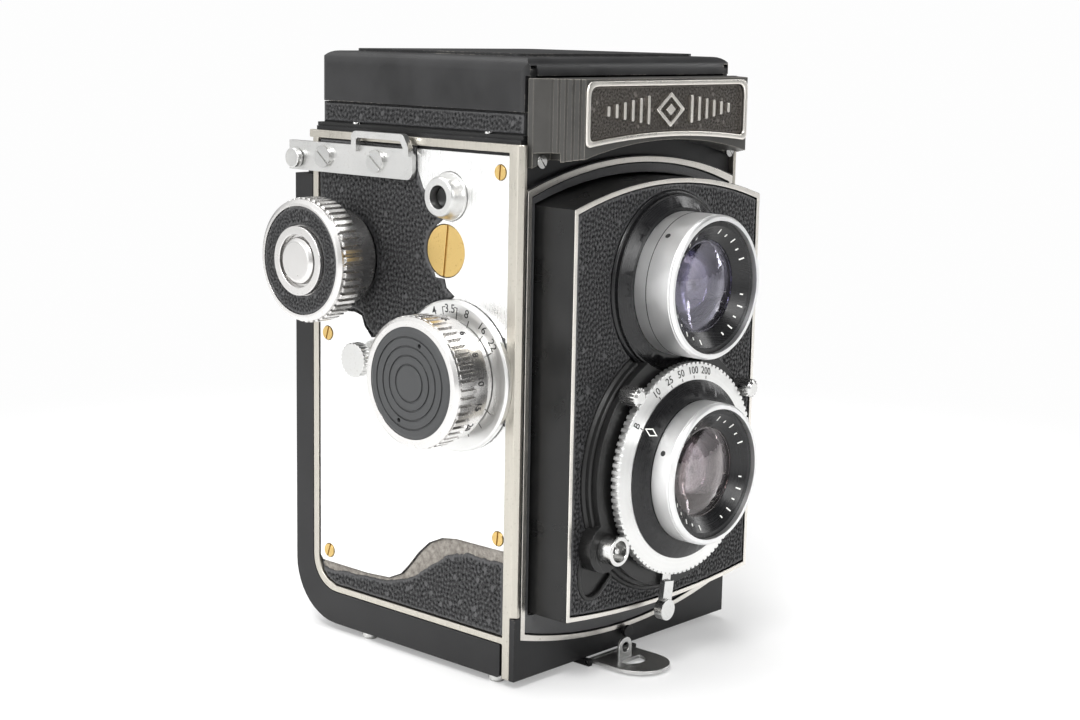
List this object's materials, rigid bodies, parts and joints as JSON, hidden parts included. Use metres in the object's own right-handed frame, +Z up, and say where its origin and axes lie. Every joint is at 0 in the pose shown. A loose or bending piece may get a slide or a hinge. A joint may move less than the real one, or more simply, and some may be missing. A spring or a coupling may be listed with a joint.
{
  "type": "twin lens reflex camera",
  "caption": "Twin lens reflex camera for roll film: boxy metal body, folding waist-level hood, stacked viewing and taking lenses on a focusing lens board, hinged back.",
  "frame": {"origin": "centre of the tripod socket's mouth, in the plane of the feet", "axes": "+Z up; -Y towards the subject, the way the lenses face; -X towards the flank with the film advance and focus knobs"},
  "size_m": [0.0982, 0.0997, 0.1387],
  "materials": {
    "black_paint": "satin black enamel",
    "black_cast": "satin black enamel over die-cast aluminium",
    "chrome": "satin chrome",
    "bright_plate": "bare polished sheet",
    "leatherette": "pebbled black covering",
    "brass": "worn brass",
    "steel": "machined",
    "black_plastic": "turned black",
    "ground_glass": "ground",
    "mirror": "silvered",
    "lens_glass": "coated"
  },
  "bodies": {
    "camera_body": {"body_casting": "black_cast", "side_trim": "chrome", "side_plate": "bright_plate", "side_leather": "leatherette", "front_leather": "leatherette", "brass_screws": "brass", "steel_screws": "steel", "strap_lugs": "chrome", "door_hinge_pin": "chrome", "release_bush": "chrome", "brass_plug": "brass", "dof_dial": "chrome", "accessory_shoe": "chrome", "hood_base": "leatherette", "nameplate": "black_cast", "ground_glass": "ground_glass", "reflex_mirror": "mirror"},
    "stop_button": {"stop_button": "chrome"},
    "film_roller": {"film_roller": "steel"},
    "hood_cover": {"hood_cover": "black_cast"},
    "flap_left": {"hood_flap_left": "black_paint"},
    "flap_right": {"hood_flap_right": "black_paint"},
    "flap_rear": {"hood_flap_rear": "black_paint"},
    "magnifier": {"magnifier_frame": "black_paint", "magnifier_lens": "lens_glass"},
    "advance_knob": {"advance_knob": "chrome", "advance_knob_leather": "leatherette", "advance_knob_cap": "chrome", "advance_shaft": "steel", "ratchet_wheel": "steel", "takeup_spool": "black_plastic"},
    "supply_spool": {"supply_spool": "black_plastic"},
    "upper_spool_pull": {"upper_spool_pull": "chrome"},
    "lower_spool_pull": {"lower_spool_pull": "chrome"},
    "release_button": {"advance_release_button": "black_paint"},
    "focus_knob": {"focus_knob": "chrome", "focus_knob_insert": "black_plastic", "focus_shaft": "steel"},
    "lens_board": {"lens_board": "black_cast", "lens_board_leather": "leatherette", "viewing_flange": "black_cast", "viewing_lens_barrel": "chrome", "lens_retaining_rings": "black_cast", "lens_elements": "lens_glass", "shutter_housing": "black_cast", "shutter_face": "black_cast", "taking_lens_barrel": "chrome", "sync_socket": "chrome"},
    "speed_ring": {"speed_ring": "chrome"},
    "aperture_lever": {"aperture_lever": "chrome"},
    "cocking_lever": {"cocking_lever": "chrome"},
    "release_lever": {"release_lever": "black_paint"},
    "blade_a": {"shutter_blade_a": "black_paint"},
    "blade_b": {"shutter_blade_b": "black_paint"},
    "back_door": {"back_door": "black_cast", "pressure_plate": "black_paint", "tripod_socket": "chrome", "feet": "chrome"},
    "window_cover": {"window_cover": "chrome"},
    "door_latch": {"door_latch": "chrome"}
  },
  "joints": [
    {"name": "hood_open", "type": "hinge", "parent": "camera_body", "child": "hood_cover", "pos_m": [0, -0.0349, 0.1349], "axis": [1, 0, 0], "range_deg": [0, 90]},
    {"name": "flap_left_fold", "type": "hinge", "parent": "camera_body", "child": "flap_left", "pos_m": [-0.0332, 0, 0.1274], "axis": [0, -1, 0], "range_deg": [0, 90]},
    {"name": "flap_right_fold", "type": "hinge", "parent": "camera_body", "child": "flap_right", "pos_m": [0.0332, 0, 0.1274], "axis": [0, 1, 0], "range_deg": [0, 90]},
    {"name": "flap_rear_fold", "type": "hinge", "parent": "camera_body", "child": "flap_rear", "pos_m": [0, 0.0275, 0.1288], "axis": [-1, 0, 0], "range_deg": [0, 90]},
    {"name": "magnifier_swing", "type": "hinge", "parent": "hood_cover", "child": "magnifier", "pos_m": [0, -0.0129, 0.1342], "axis": [1, 0, 0], "range_deg": [-90, 0]},
    {"name": "film_advance", "type": "hinge", "parent": "camera_body", "child": "advance_knob", "pos_m": [-0.038, 0.0173, 0.0914], "axis": [-1, 0, 0], "continuous": true},
    {"name": "supply_spin", "type": "hinge", "parent": "camera_body", "child": "supply_spool", "pos_m": [0, -0.013, 0.0159], "axis": [-1, 0, 0], "continuous": true},
    {"name": "roller_spin", "type": "hinge", "parent": "camera_body", "child": "film_roller", "pos_m": [0, 0.0236, 0.0149], "axis": [-1, 0, 0], "continuous": true},
    {"name": "upper_pull", "type": "slide", "parent": "camera_body", "child": "upper_spool_pull", "axis": [1, 0, 0], "range_m": [0, 0.0065]},
    {"name": "lower_pull", "type": "slide", "parent": "camera_body", "child": "lower_spool_pull", "axis": [1, 0, 0], "range_m": [0, 0.0065]},
    {"name": "release_press", "type": "slide", "parent": "camera_body", "child": "release_button", "axis": [1, 0, 0], "range_m": [0, 0.0015]},
    {"name": "stop_press", "type": "slide", "parent": "camera_body", "child": "stop_button", "axis": [1, 0, 0], "range_m": [0, 0.0007]},
    {"name": "focus_turn", "type": "hinge", "parent": "camera_body", "child": "focus_knob", "pos_m": [-0.038, -0.0188, 0.0683], "axis": [-1, 0, 0], "range_deg": [0, 270]},
    {"name": "board_slide", "type": "slide", "parent": "camera_body", "child": "lens_board", "axis": [0, -1, 0], "range_m": [0, 0.00706]},
    {"name": "speed_set", "type": "hinge", "parent": "lens_board", "child": "speed_ring", "pos_m": [0, -0.05, 0.0472], "axis": [0, -1, 0], "range_deg": [-75, 75]},
    {"name": "aperture_set", "type": "hinge", "parent": "lens_board", "child": "aperture_lever", "pos_m": [0, -0.05, 0.0472], "axis": [0, -1, 0], "range_deg": [0, 50]},
    {"name": "shutter_cock", "type": "hinge", "parent": "lens_board", "child": "cocking_lever", "pos_m": [0, -0.05, 0.0472], "axis": [0, -1, 0], "range_deg": [-50, 0]},
    {"name": "shutter_release", "type": "hinge", "parent": "lens_board", "child": "release_lever", "pos_m": [0, -0.05, 0.0472], "axis": [0, -1, 0], "range_deg": [0, 25]},
    {"name": "blade_a_swing", "type": "hinge", "parent": "lens_board", "child": "blade_a", "pos_m": [0, -0.05, 0.0627], "axis": [0, -1, 0], "range_deg": [-45, 5]},
    {"name": "blade_b_swing", "type": "hinge", "parent": "lens_board", "child": "blade_b", "pos_m": [0, -0.05, 0.0317], "axis": [0, -1, 0], "range_deg": [-45, 5]},
    {"name": "back_open", "type": "hinge", "parent": "camera_body", "child": "back_door", "pos_m": [0, 0.0332, 0.1132], "axis": [1, 0, 0], "range_deg": [0, 110]},
    {"name": "window_slide", "type": "slide", "parent": "back_door", "child": "window_cover", "axis": [1, 0, 0], "range_m": [0, 0.0135]},
    {"name": "latch_swing", "type": "hinge", "parent": "back_door", "child": "door_latch", "pos_m": [0, -0.0383, 0.0011], "axis": [1, 0, 0], "range_deg": [-35, 15]}
  ],
  "couplings": [
    {"joint": "flap_left_fold", "follows": "hood_open", "ratio": 1},
    {"joint": "flap_right_fold", "follows": "hood_open", "ratio": 1},
    {"joint": "flap_rear_fold", "follows": "hood_open", "ratio": 1},
    {"joint": "magnifier_swing", "follows": "hood_open", "ratio": -1},
    {"joint": "focus_turn", "follows": "board_slide", "rad_per_m": 666.67},
    {"joint": "blade_a_swing", "follows": "shutter_release", "ratio": -1.6},
    {"joint": "blade_b_swing", "follows": "shutter_release", "ratio": -1.6}
  ]
}
